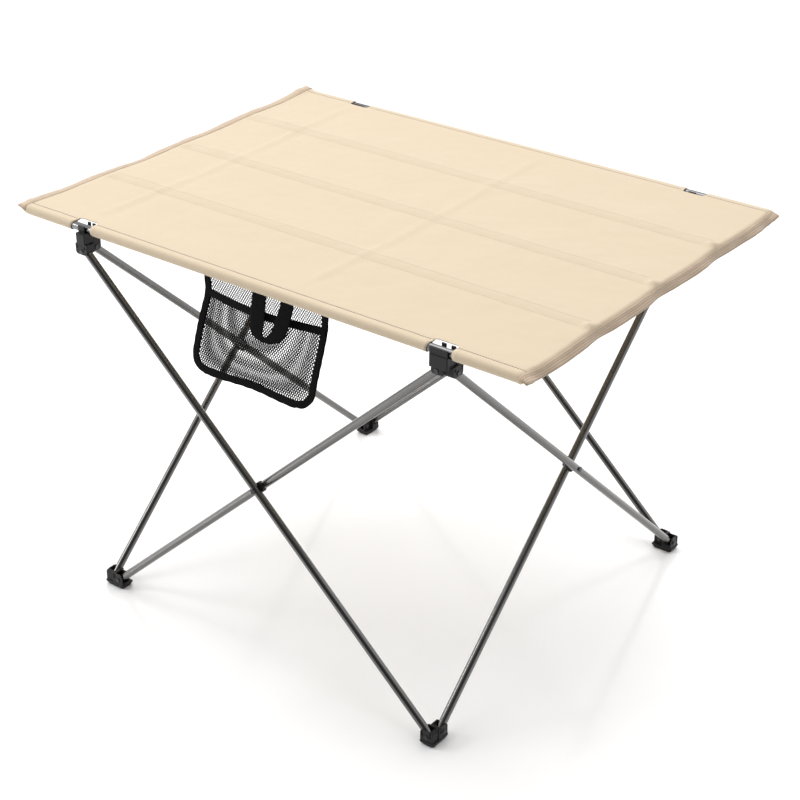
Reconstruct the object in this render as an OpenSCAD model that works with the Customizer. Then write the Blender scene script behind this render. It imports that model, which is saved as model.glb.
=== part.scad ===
// Folding camp kitchen table: a cloth top on two poles, clipped to a crossed-leg frame.
// Millimetres, +Z up, origin on the ground under the middle of the table, +X along the long edge.

/* [Cloth top] */
// Length of the cloth top along X
top_length = 743; // [715:1:760]
// Height of the top surface above the ground
top_height = 519; // [505:1:540]
// Thickness of the laminated cloth
cloth_t = 1.4; // [1:0.1:2]
// Width of the tape sewn over the short ends
tape_w = 10; // [8:1:14]

/* [Frame] */
// Half distance between opposite hub centres, the same along X and Y
half_span = 266; // [255:1:280]
// Outer diameter of legs and poles
tube_d = 10; // [10:0.1:10.4]
// Wall of legs and poles
tube_wall = 1; // [0.8:0.1:1.5]
// Distance from a face's plane to the axis of each of its two legs
leg_offset = 5.7; // [5.6:0.1:6]
// Distance from a hub's centre to its leg pivots, along the face
pivot_inset = 9; // [8.5:0.1:10]
// Height of the leg pivots in the feet
foot_pivot_z = 12; // [11.5:0.1:14]
// Height of the leg pivots in the hubs
hub_pivot_z = 488; // [485:0.5:489]

/* [Hubs and feet] */
// Thickness of the moulded cheeks beside a leg
cheek_t = 1.6; // [1.4:0.1:1.6]
// Gap between a tube and the cheek beside it
slot_gap = 0.3; // [0.2:0.05:0.3]
// Radius of the rivet shafts
rivet_r = 1.5; // [1.2:0.1:1.6]
// Height of a foot
foot_h = 21; // [20:0.5:23]
// Length of a cheek past its pivot
cheek_nose = 8.5; // [7.5:0.5:10]

/* [Mesh bag] */
// Width of the hanging bag
bag_w = 183; // [160:1:200]
// Length of the pocket below its mouth
pocket_l = 98; // [85:1:105]
// Outward lean of the pocket
pocket_lean = 16.5; // [12:0.5:20]
// Width of the tape round the bag
bag_tape = 9; // [8:1:12]
// Most that the pocket's front stands off its back, at the mouth
pocket_bulge = 12; // [10:0.5:13]

/* [Webbing loop] */
// Width of the webbing
webbing_w = 20; // [18:1:25]
// Distance between the two webbing legs, centre to centre
webbing_pitch = 43; // [38:1:50]

/* [Hidden] */
$fn = 48;

// Frame
tube_r = tube_d / 2;
bore_r = tube_r - tube_wall;
pivot_half = half_span - pivot_inset;
cross_z = (hub_pivot_z + foot_pivot_z) / 2;
leg_rise = hub_pivot_z - foot_pivot_z;
leg_angle = atan2(leg_rise, 2 * pivot_half);
leg_pin_to_pin = sqrt(pow(leg_rise, 2) + pow(2 * pivot_half, 2));
// Tube left beyond its end pivots
leg_end = 5.5;
// Radius swept by the end of a leg about its pivot, with room to turn
pocket_r = sqrt(pow(leg_end, 2) + pow(tube_r, 2)) + 0.35;
// Running clearance between a rivet and its hole
run_gap = 0.05;
rivet_head_r = 2.9;
rivet_head_t = 0.9;
cross_head_r = 3.4;
cross_head_t = 1;
spacer_r = 6.8;
spacer_gap = 0.2;

// Hubs and feet: u runs along the outer leg, v along the inner leg
slot_half = tube_r + slot_gap;
cheek_out = slot_half + cheek_t;
outer_back = -0.5;
outer_front = pivot_inset + cheek_nose;
inner_back = -1.2;
inner_front = pivot_inset + cheek_nose - 1.5;
slot_back = 3.5;
hub_drop = 3.8;
// Rounding of the free corners of the cheeks
cheek_round = 4;

// Poles and cloth
pole_z = top_height - tube_r - 1;
sleeve_r = tube_r + 1;
sleeve_bore_r = tube_r + 0.15;
pole_half = 355;
plug_t = 3;
sleeve_half = top_length / 2 - tape_w - 0.3;
cloth_z = top_height - cloth_t;
seam_y = half_span - sleeve_r - 0.5;
window_in = 248;
window_out = 278;
window_mid = (window_in + window_out) / 2;
window_dip = 4.3;
window_round = 4;
tape_t = 0.6;
tape_lap = 4.5;
batten_w = 12;
batten_t = 1.5;
batten_half = 354;
batten_skin = 0.6;
batten_pitch = half_span / 2;

// Clip that carries a pole
saddle_r = tube_r + 0.3;
shelf_z = pole_z - 2.7;
// Fingers stand clear of the sleeves, so that these can leave upwards; walls close to the bare pole
finger_gap = sleeve_r + 0.25;
finger_t = 2.2;
finger_top = top_height - 0.4;
wall_gap = tube_r + 0.35;

// Bag
bag_y = -243;
bag_hang_z = top_height - cloth_t - 1.1;
mouth_z = 477;
mesh_t = 0.8;
bag_tape_t = 2.4;
bag_corner = 20;
bag_half = bag_w / 2;
mesh_half = bag_half - bag_tape;
band_w = 9;

// Webbing
webbing_t = 1.6;
webbing_x = 24.5;
webbing_y = -256;
webbing_lean = 8.5;
webbing_l = 68;

plastic = [0.055, 0.055, 0.06];
gunmetal = [0.25, 0.25, 0.25];
silver = [0.78, 0.78, 0.8];
rivet_grey = [0.3, 0.3, 0.31];
beige = [0.88, 0.8, 0.66];
tape_beige = [0.78, 0.67, 0.54];
mesh_black = [0.05, 0.05, 0.055];

// Quarter turns: 0 front, 1 right, 2 back, 3 left
module quarter(i) {
    rotate([0, 0, 90 * i]) children();
}

// Hub corner frame: origin at the hub's centre on the ground, x = u, y = v
module at_hub(i) {
    quarter(i) translate([-half_span, -half_span, 0]) children();
}

// Foot corner frame, the mirror image of the hub's
module at_foot(i) {
    quarter(i) translate([half_span, -half_span, 0]) mirror([1, 0, 0]) children();
}

// Box with chamfered upright edges
module post(u0, u1, v0, v1, z0, z1, edge = 1.2) {
    translate([0, 0, z0]) linear_extrude(height = z1 - z0)
        polygon([
            [u0 + edge, v0], [u1 - edge, v0], [u1, v0 + edge], [u1, v1 - edge],
            [u1 - edge, v1], [u0 + edge, v1], [u0, v1 - edge], [u0, v0 + edge]
        ]);
}

// Cylinder along u or v, through a pivot
module cross_u(r, u0, u1, v, z) {
    translate([u0, v, z]) rotate([0, 90, 0]) cylinder(r = r, h = u1 - u0);
}

module cross_v(r, v0, v1, u, z) {
    translate([u, v0, z]) rotate([-90, 0, 0]) cylinder(r = r, h = v1 - v0);
}

// Room for the two leg ends: up is 1 in a foot, where the legs rise, and -1 in a hub
module leg_slots(pz, up) {
    open_z = up > 0 ? pz : pz - 40;
    cross_v(pocket_r, -leg_offset - slot_half, -leg_offset + slot_half, pivot_inset, pz);
    translate([slot_back, -leg_offset - slot_half, open_z]) cube([40, 2 * slot_half, 40]);
    cross_u(pocket_r, leg_offset - slot_half, leg_offset + slot_half, pivot_inset, pz);
    translate([leg_offset - slot_half, slot_back, open_z]) cube([2 * slot_half, 40, 40]);
}

module rivet_holes(pz) {
    cross_v(rivet_r + run_gap, -leg_offset - cheek_out - 9, 1.7, pivot_inset, pz);
    cross_u(rivet_r + run_gap, -9, leg_offset + cheek_out + 9, pivot_inset, pz);
}

// The two rivets of one hub or foot
module corner_rivets(pz) {
    v_face = -leg_offset - cheek_out;
    v_end = -leg_offset + slot_half + 1.5;
    cross_v(rivet_r, v_face, v_end, pivot_inset, pz);
    cross_v(rivet_head_r, v_face - rivet_head_t, v_face, pivot_inset, pz);
    u_face = leg_offset + cheek_out;
    cross_u(rivet_r, leg_offset - cheek_out, u_face, pivot_inset, pz);
    cross_u(rivet_head_r, u_face, u_face + rivet_head_t, pivot_inset, pz);
    cross_u(rivet_head_r, leg_offset - cheek_out - rivet_head_t, leg_offset - cheek_out, pivot_inset, pz);
}

// Side view of a cheek: its corners are rounded at the open end, below when up is -1 and above when it is 1
module cheek_side(a0, a1, z0, z1, up) {
    offset(r = cheek_round) offset(delta = -cheek_round)
        translate([a0, z0]) square([a1 - a0, z1 - z0]);
    translate([a0, up > 0 ? z0 : z1 - 2 * cheek_round]) square([a1 - a0, 2 * cheek_round]);
}

// The cheeks round both leg ends
module cheeks(z0, z1, up) {
    translate([0, -leg_offset + cheek_out, 0]) rotate([90, 0, 0])
        linear_extrude(height = 2 * cheek_out) cheek_side(outer_back, outer_front, z0, z1, up);
    translate([leg_offset - cheek_out, 0, 0]) rotate([90, 0, 90])
        linear_extrude(height = 2 * cheek_out) cheek_side(inner_back, inner_front, z0, z1, up);
}

// Shallow moulded recesses in the outward faces
module face_recesses(z0, z1) {
    v_face = -leg_offset - cheek_out;
    for (u = [1.6, 13.4])
        translate([u, v_face - 1, z0]) cube([2.6, 1.7, z1 - z0]);
    translate([leg_offset - cheek_out - 1, 1.4, z0]) cube([1.7, 2.4, z1 - z0]);
}

// Hub with its clip. along_u says that the pole lies along u; the wall close to the pole stands on its
// outer side in a front hub and on its inner side in a back hub
module hub(along_u, front) {
    slot_top = hub_pivot_z + pocket_r;
    color(plastic) difference() {
        union() {
            cheeks(hub_pivot_z - hub_drop, slot_top + 1.6, -1);
            clip_block(along_u, slot_top);
            if (along_u) clip_u(slot_top, front);
            else clip_v(slot_top, front);
        }
        leg_slots(hub_pivot_z, -1);
        rivet_holes(hub_pivot_z);
        face_recesses(hub_pivot_z + 3.6, slot_top - 0.6);
        if (along_u) cross_u(saddle_r, -20, 40, 0, pole_z);
        else cross_v(saddle_r, -30, 40, 0, pole_z);
    }
}

// Block that the pole lies on
module clip_block(along_u, z0) {
    v_face = -leg_offset - cheek_out;
    if (along_u)
        post(outer_back + 1, outer_front - 2, v_face, finger_gap + finger_t, z0, shelf_z);
    else
        post(-finger_gap - finger_t, 12, v_face + 2.5, inner_front - 2, z0, shelf_z);
}

// Jaws of a clip whose pole lies along u
module clip_u(z0, front) {
    if (front) {
        for (u = [2.5, 10.5])
            post(u, u + 5, finger_gap, finger_gap + finger_t, z0, finger_top, 0.6);
        post(0.5, 11, -wall_gap - finger_t, -wall_gap, z0, finger_top, 0.6);
    } else {
        post(0.5, 11, wall_gap, wall_gap + finger_t, z0, finger_top, 0.6);
        post(1, 15, -finger_gap - finger_t, -finger_gap, z0, pole_z + 0.4, 0.6);
    }
}

// Jaws of a clip whose pole lies along v
module clip_v(z0, front) {
    if (front) {
        for (v = [-10.1, 2.2])
            post(finger_gap, finger_gap + finger_t, v, v + 6, z0, finger_top, 0.6);
        post(-wall_gap - finger_t, -wall_gap, -9.5, 14, z0, finger_top, 0.6);
    } else {
        post(wall_gap, wall_gap + finger_t, -9.5, 9, z0, finger_top, 0.6);
        post(-finger_gap - finger_t, -finger_gap, -9.5, 13, z0, pole_z + 0.4, 0.6);
    }
}

// Foot: cheeks on a flared base with pointed corners and a bevelled underside
module foot() {
    v0 = -leg_offset - cheek_out;
    flare_z = 6;
    color(plastic) difference() {
        union() {
            cheeks(2, foot_h, 1);
            post(-0.3, outer_front - 1, v0 + 1, inner_front - 1, 0, 1.8, 2.5);
            post(-1.2, outer_front - 0.3, v0, inner_front - 0.1, 1.8, 3.8, 1.5);
            post(-1.8, outer_front + 0.3, v0 - 0.8, inner_front + 0.5, 3.8, flare_z, 0.4);
        }
        leg_slots(foot_pivot_z, 1);
        rivet_holes(foot_pivot_z);
        face_recesses(foot_h - 8, foot_h + 1);
    }
}

// One leg tube of a face, drilled for its three rivets
module leg(i, outer) {
    offset_y = outer ? -leg_offset : leg_offset;
    color(gunmetal) quarter(i)
        translate([0, -half_span + offset_y, cross_z])
        rotate([0, outer ? leg_angle : -leg_angle, 0])
        difference() {
            rotate([0, 90, 0]) cylinder(r = tube_r, h = leg_pin_to_pin + 2 * leg_end, center = true);
            rotate([0, 90, 0]) cylinder(r = bore_r, h = leg_pin_to_pin + 3 * leg_end, center = true);
            for (s = [-1, 0, 1]) translate([s * leg_pin_to_pin / 2, 0, 0])
                rotate([90, 0, 0]) cylinder(r = rivet_r + run_gap, h = tube_d + 2, center = true);
        }
}

// Rivet through the crossing of a face's two legs
module cross_rivet(i) {
    y_out = -leg_offset - tube_r - 0.2;
    y_in = leg_offset + tube_r + 0.1;
    color(rivet_grey) quarter(i) translate([0, -half_span, 0]) {
        cross_v(rivet_r, y_out, y_in, 0, cross_z);
        cross_v(cross_head_r, y_out - cross_head_t, y_out, 0, cross_z);
        cross_v(cross_head_r, y_in, y_in + cross_head_t, 0, cross_z);
    }
}

// Spacer between the crossed legs: flat towards the outer leg, hollowed to sit on the inner one
module cross_spacer(i) {
    y_out = -leg_offset + tube_r + spacer_gap;
    color(plastic) quarter(i) translate([0, -half_span, 0]) difference() {
        cross_v(spacer_r, y_out, leg_offset, 0, cross_z);
        cross_v(rivet_r + run_gap, y_out - 1, leg_offset + 1, 0, cross_z);
        translate([0, leg_offset, cross_z]) rotate([0, -leg_angle, 0])
            rotate([0, 90, 0]) cylinder(r = tube_r + 0.03, h = 60, center = true);
    }
}

// Pole tube on one side: s = -1 front, 1 back
module pole(s) {
    color(silver) translate([0, s * half_span, pole_z]) rotate([0, 90, 0]) difference() {
        cylinder(r = tube_r, h = 2 * pole_half, center = true);
        cylinder(r = bore_r, h = 2 * pole_half + 2, center = true);
    }
}

// Plugs pushed into both ends of a pole
module pole_plugs(s) {
    color(plastic) for (e = [-1, 1])
        translate([e * pole_half, s * half_span, pole_z]) rotate([0, e * 90, 0]) {
            cylinder(r = tube_r, h = plug_t);
            translate([0, 0, -12]) cylinder(r = bore_r, h = 12);
        }
}

// Window cut in the long edges where a hub reaches the pole
module edge_window(e, s) {
    depth = 2 * (window_dip + window_round);
    translate([e * window_mid, s * (seam_y - window_dip + depth / 2), 0])
        linear_extrude(height = 2 * top_height) offset(r = window_round)
        square([window_out - window_in - 2 * window_round, depth - 2 * window_round], center = true);
}

// The cloth, thinner where the end tapes lie over it
module cloth_top() {
    tape_line = top_length / 2 - tape_w;
    end_depth = 2 * (half_span + sleeve_r - 0.5);
    color(beige) translate([0, 0, cloth_z]) difference() {
        union() {
            linear_extrude(height = cloth_t) {
                square([2 * sleeve_half, 2 * seam_y], center = true);
                for (e = [-1, 1]) translate([e * (sleeve_half + tape_line) / 2, 0])
                    square([tape_line - sleeve_half, end_depth], center = true);
            }
            linear_extrude(height = cloth_t - tape_t)
                for (e = [-1, 1]) translate([e * (top_length / 2 - (tape_w + tape_lap) / 2), 0])
                    square([tape_w - tape_lap, end_depth], center = true);
        }
        for (e = [-1, 1], s = [-1, 1]) translate([0, 0, -top_height]) edge_window(e, s);
    }
}

// Sleeve sewn round a pole, open at the two windows
module sleeve(s) {
    color(beige) difference() {
        translate([-sleeve_half, 0, 0]) rotate([90, 0, 90])
            linear_extrude(height = 2 * sleeve_half) difference() {
                union() {
                    translate([s * half_span, pole_z]) circle(r = sleeve_r);
                    translate([s > 0 ? seam_y : -half_span, cloth_z])
                        square([half_span - seam_y, cloth_t]);
                }
                translate([s * half_span, pole_z]) circle(r = sleeve_bore_r);
            }
        for (e = [-1, 1]) translate([e * window_mid, s * half_span, pole_z])
            cube([window_out - window_in, 40, 40], center = true);
    }
}

// Tape folded over one short end, level with the cloth's upper face
module edge_tape(e) {
    end_depth = 2 * (half_span + sleeve_r);
    low = cloth_z - tape_t;
    color(tape_beige) difference() {
        translate([e * (top_length - tape_w) / 2, 0, (low + top_height) / 2])
            cube([tape_w, end_depth, top_height - low], center = true);
        translate([e * (top_length / 2 - tape_lap - 50), 0, cloth_z + (cloth_t - tape_t) / 2])
            cube([100, end_depth - 1, cloth_t - tape_t], center = true);
    }
}

// Flat batten that keeps the cloth level: k = -1 front, 0 middle, 1 back
module batten(k) {
    color(rivet_grey) translate([0, k * batten_pitch, cloth_z - batten_t / 2 - 0.1])
        cube([2 * batten_half, batten_w, batten_t], center = true);
}

// Cloth channel sewn under the top round a batten
module batten_pocket(k) {
    skin = batten_skin;
    color(beige) translate([0, k * batten_pitch, cloth_z]) difference() {
        translate([-batten_half - 5, -batten_w / 2 - 4, -batten_t - 0.2 - skin])
            cube([2 * batten_half + 10, batten_w + 8, batten_t + 0.2 + skin]);
        translate([-batten_half - 0.5, -batten_w / 2 - 0.2, -batten_t - 0.2])
            cube([2 * batten_half + 1, batten_w + 0.4, batten_t + 1]);
    }
}

// Pocket frame: x across, y down the pocket, z outward from its back
module at_pocket() {
    translate([0, bag_y, mouth_z]) rotate([-90 - pocket_lean, 0, 0]) children();
}

// Stand-off of the pocket's front at x across and t from 0 at the mouth to 1 at the bottom
function pocket_front(x, t) =
    mesh_t / 2 + pocket_bulge * cos(90 * x / mesh_half) * cos(90 * t);

// Curved sheet over the pocket from row t0 to t1, of thickness thick, lifted by lift
module pocket_sheet(t0, t1, thick, lift, nx = 14, nt = 8) {
    length = pocket_l - bag_tape;
    xs = [for (i = [0:nx]) -mesh_half + 2 * mesh_half * i / nx];
    ts = [for (j = [0:nt]) t0 + (t1 - t0) * j / nt];
    low = [for (t = ts, x = xs) [x, t * length, pocket_front(x, t) + lift]];
    high = [for (p = low) p + [0, 0, thick]];
    n = (nx + 1) * (nt + 1);
    cell = function (j, i) j * (nx + 1) + i;
    under = [for (j = [0:nt - 1], i = [0:nx - 1])
        [cell(j, i), cell(j, i + 1), cell(j + 1, i + 1), cell(j + 1, i)]];
    over = [for (f = under) [n + f[3], n + f[2], n + f[1], n + f[0]]];
    ends = [for (i = [0:nx - 1]) each [
        [cell(0, i + 1), cell(0, i), n + cell(0, i), n + cell(0, i + 1)],
        [cell(nt, i), cell(nt, i + 1), n + cell(nt, i + 1), n + cell(nt, i)]]];
    sides = [for (j = [0:nt - 1]) each [
        [cell(j, 0), cell(j + 1, 0), n + cell(j + 1, 0), n + cell(j, 0)],
        [cell(j + 1, nx), cell(j, nx), n + cell(j, nx), n + cell(j + 1, nx)]]];
    polyhedron(points = concat(low, high), faces = concat(under, over, ends, sides), convexity = 4);
}

// Back of the bag: an upright flap down to the mouth, then the pocket's back
module bag_back_mesh() {
    color(mesh_black) {
        translate([-mesh_half, bag_y - mesh_t / 2, mouth_z + 1])
            cube([2 * mesh_half, mesh_t, bag_hang_z - mouth_z - 1]);
        at_pocket() translate([-mesh_half, 0, -mesh_t / 2])
            cube([2 * mesh_half, pocket_l - bag_tape, mesh_t * 0.9]);
    }
}

module bag_front_mesh() {
    color(mesh_black) at_pocket() pocket_sheet(band_w / (pocket_l - bag_tape), 1, mesh_t, 0.1);
}

module bag_mouth_band() {
    color(mesh_black) at_pocket()
        pocket_sheet(0, band_w / (pocket_l - bag_tape) - 0.002, 1.6, 0, 14, 2);
}

// Tape round the sides and the rounded bottom of the bag
module bag_edge_tape() {
    inner_corner = bag_corner - bag_tape;
    color(mesh_black) {
        at_pocket() translate([0, 0, -bag_tape_t / 2]) linear_extrude(height = bag_tape_t) difference() {
            union() {
                translate([-bag_half, 0]) square([bag_w, pocket_l - bag_corner]);
                translate([-bag_half + bag_corner, 0]) square([bag_w - 2 * bag_corner, pocket_l]);
                for (e = [-1, 1]) translate([e * (bag_half - bag_corner), pocket_l - bag_corner])
                    circle(r = bag_corner);
            }
            translate([-mesh_half, -1]) square([2 * mesh_half, pocket_l - bag_tape + 1]);
        }
        for (e = [-1, 1])
            translate([e * (bag_half + mesh_half) / 2, bag_y, (mouth_z + bag_hang_z) / 2 + 0.4])
            cube([bag_tape, bag_tape_t, bag_hang_z - mouth_z - 0.8], center = true);
    }
}

// Webbing folded into a hanging loop, leaning out in front of the bag
module webbing_loop() {
    half = webbing_pitch / 2;
    edge = half + webbing_w / 2;
    gap = half - webbing_w / 2;
    color(mesh_black) translate([webbing_x, webbing_y, bag_hang_z]) rotate([90 - webbing_lean, 0, 0])
        linear_extrude(height = webbing_t, center = true) difference() {
            polygon([
                [-edge, -0.4], [-edge - 1, -38], [-edge + 2, -51], [-edge + 10, -webbing_l + 3],
                [-7, -webbing_l], [7, -webbing_l], [edge - 11, -webbing_l + 4], [edge - 3, -50],
                [edge, -36], [edge, -0.4]
            ]);
            polygon([[-gap, 1], [-gap, -34], [-gap + 2, -webbing_l + 16], [-2, -webbing_l + 11],
                [gap - 3, -webbing_l + 20], [gap, -34], [gap, 1]]);
        }
}

module hub_front_left() { at_hub(0) hub(true, true); }
module hub_front_right() { at_hub(1) hub(false, true); }
module hub_back_right() { at_hub(2) hub(true, false); }
module hub_back_left() { at_hub(3) hub(false, false); }
module hub_rivets_front_left() { color(rivet_grey) at_hub(0) corner_rivets(hub_pivot_z); }
module hub_rivets_front_right() { color(rivet_grey) at_hub(1) corner_rivets(hub_pivot_z); }
module hub_rivets_back_right() { color(rivet_grey) at_hub(2) corner_rivets(hub_pivot_z); }
module hub_rivets_back_left() { color(rivet_grey) at_hub(3) corner_rivets(hub_pivot_z); }
module foot_front_left() { at_foot(3) foot(); }
module foot_front_right() { at_foot(0) foot(); }
module foot_back_right() { at_foot(1) foot(); }
module foot_back_left() { at_foot(2) foot(); }
module foot_rivets_front_left() { color(rivet_grey) at_foot(3) corner_rivets(foot_pivot_z); }
module foot_rivets_front_right() { color(rivet_grey) at_foot(0) corner_rivets(foot_pivot_z); }
module foot_rivets_back_right() { color(rivet_grey) at_foot(1) corner_rivets(foot_pivot_z); }
module foot_rivets_back_left() { color(rivet_grey) at_foot(2) corner_rivets(foot_pivot_z); }
module leg_front_outer() { leg(0, true); }
module leg_front_inner() { leg(0, false); }
module leg_right_outer() { leg(1, true); }
module leg_right_inner() { leg(1, false); }
module leg_back_outer() { leg(2, true); }
module leg_back_inner() { leg(2, false); }
module leg_left_outer() { leg(3, true); }
module leg_left_inner() { leg(3, false); }
module cross_rivet_front() { cross_rivet(0); }
module cross_rivet_right() { cross_rivet(1); }
module cross_rivet_back() { cross_rivet(2); }
module cross_rivet_left() { cross_rivet(3); }
module cross_spacer_front() { cross_spacer(0); }
module cross_spacer_right() { cross_spacer(1); }
module cross_spacer_back() { cross_spacer(2); }
module cross_spacer_left() { cross_spacer(3); }
module pole_front() { pole(-1); }
module pole_back() { pole(1); }
module pole_plugs_front() { pole_plugs(-1); }
module pole_plugs_back() { pole_plugs(1); }
module sleeve_front() { sleeve(-1); }
module sleeve_back() { sleeve(1); }
module edge_tape_left() { edge_tape(-1); }
module edge_tape_right() { edge_tape(1); }
module batten_front() { batten(-1); }
module batten_middle() { batten(0); }
module batten_back() { batten(1); }
module batten_pocket_front() { batten_pocket(-1); }
module batten_pocket_middle() { batten_pocket(0); }
module batten_pocket_back() { batten_pocket(1); }

hub_front_left();
hub_front_right();
hub_back_right();
hub_back_left();
hub_rivets_front_left();
hub_rivets_front_right();
hub_rivets_back_right();
hub_rivets_back_left();
foot_front_left();
foot_front_right();
foot_back_right();
foot_back_left();
foot_rivets_front_left();
foot_rivets_front_right();
foot_rivets_back_right();
foot_rivets_back_left();
leg_front_outer();
leg_front_inner();
leg_right_outer();
leg_right_inner();
leg_back_outer();
leg_back_inner();
leg_left_outer();
leg_left_inner();
cross_rivet_front();
cross_rivet_right();
cross_rivet_back();
cross_rivet_left();
cross_spacer_front();
cross_spacer_right();
cross_spacer_back();
cross_spacer_left();
pole_front();
pole_back();
pole_plugs_front();
pole_plugs_back();
cloth_top();
sleeve_front();
sleeve_back();
edge_tape_left();
edge_tape_right();
batten_front();
batten_middle();
batten_back();
batten_pocket_front();
batten_pocket_middle();
batten_pocket_back();
bag_back_mesh();
bag_front_mesh();
bag_edge_tape();
bag_mouth_band();
webbing_loop();
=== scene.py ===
import math

import bmesh
import bpy
import numpy as np
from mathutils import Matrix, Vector, noise


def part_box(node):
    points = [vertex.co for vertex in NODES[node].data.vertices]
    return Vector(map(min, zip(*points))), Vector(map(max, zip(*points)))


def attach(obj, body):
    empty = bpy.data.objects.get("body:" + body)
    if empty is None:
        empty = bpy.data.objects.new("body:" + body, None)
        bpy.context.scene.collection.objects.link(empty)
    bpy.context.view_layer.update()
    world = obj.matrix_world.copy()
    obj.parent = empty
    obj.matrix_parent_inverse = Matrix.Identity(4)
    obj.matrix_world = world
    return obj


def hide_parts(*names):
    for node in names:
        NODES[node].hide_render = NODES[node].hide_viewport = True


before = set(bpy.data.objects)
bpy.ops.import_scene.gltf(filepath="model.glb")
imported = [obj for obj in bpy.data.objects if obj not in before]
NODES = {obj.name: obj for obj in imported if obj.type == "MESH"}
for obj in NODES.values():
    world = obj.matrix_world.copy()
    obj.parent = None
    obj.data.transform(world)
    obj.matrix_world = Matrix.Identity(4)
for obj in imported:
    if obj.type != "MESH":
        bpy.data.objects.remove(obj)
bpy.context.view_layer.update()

MM = 0.001

# ---------------------------------------------------------------- places taken from the frame
pole_low, pole_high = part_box("pole_front")
POLE_Y = -(pole_high.y + pole_low.y) / 2
POLE_Z = (pole_high.z + pole_low.z) / 2
POLE_END = pole_high.x
HALF_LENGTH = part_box("edge_tape_right")[1].x
TOP_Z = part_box("cloth_top")[1].z
BATTEN_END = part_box("batten_middle")[1].x
batten_low, batten_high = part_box("batten_back")
CHANNEL_Y = batten_low.y + (batten_high.y - batten_low.y) / 2
BAG_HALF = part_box("bag_edge_tape")[1].x
BAG_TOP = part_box("bag_back_mesh")[1].z
BAG_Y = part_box("bag_back_mesh")[1].y - 0.4 * MM
LOOP_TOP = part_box("webbing_loop")[1].z
LOOP_X = 24.5 * MM

# ---------------------------------------------------------------- helpers


def smooth(t):
    """Smooth step from 0 at t = 0 to 1 at t = 1."""
    t = np.clip(t, 0, 1)
    return t * t * (3 - 2 * t)


def bump_at(distance, width):
    """A bell of height 1."""
    return np.exp(-((distance / width) ** 2))


def mesh_object(name, points, faces, material, shade_smooth=True):
    """A new mesh object from points and faces."""
    mesh = bpy.data.meshes.new(name)
    mesh.from_pydata([tuple(p) for p in points], [], [tuple(int(i) for i in f) for f in faces])
    mesh.validate()
    mesh.polygons.foreach_set("use_smooth", [shade_smooth] * len(mesh.polygons))
    mesh.update()
    made = bpy.data.objects.new(name, mesh)
    bpy.context.scene.collection.objects.link(made)
    mesh.materials.append(material)
    return made


def grid_faces(rows, columns, keep=None, closed=False):
    """Quads of a grid whose points run along each row in turn; closed joins the last row to the first."""
    faces = []
    for r in range(rows if closed else rows - 1):
        below = (r + 1) % rows
        for c in range(columns - 1):
            if keep is None or keep[r, c]:
                corner, under = r * columns + c, below * columns + c
                faces.append((corner, corner + 1, under + 1, under))
    return faces


def store_cut(made, values):
    """Keeps each point's place on the flat cut, in metres, for the weave of its material."""
    layer = made.data.attributes.new("cut", "FLOAT_VECTOR", "POINT")
    layer.data.foreach_set("vector", np.asarray(values, np.float32).reshape(-1))


def thicken(made, thickness, offset=0.0):
    """Gives a sheet its thickness."""
    solid = made.modifiers.new("thickness", "SOLIDIFY")
    solid.thickness = thickness
    solid.offset = offset
    solid.use_even_offset = False
    return made


# ---------------------------------------------------------------- materials


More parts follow.
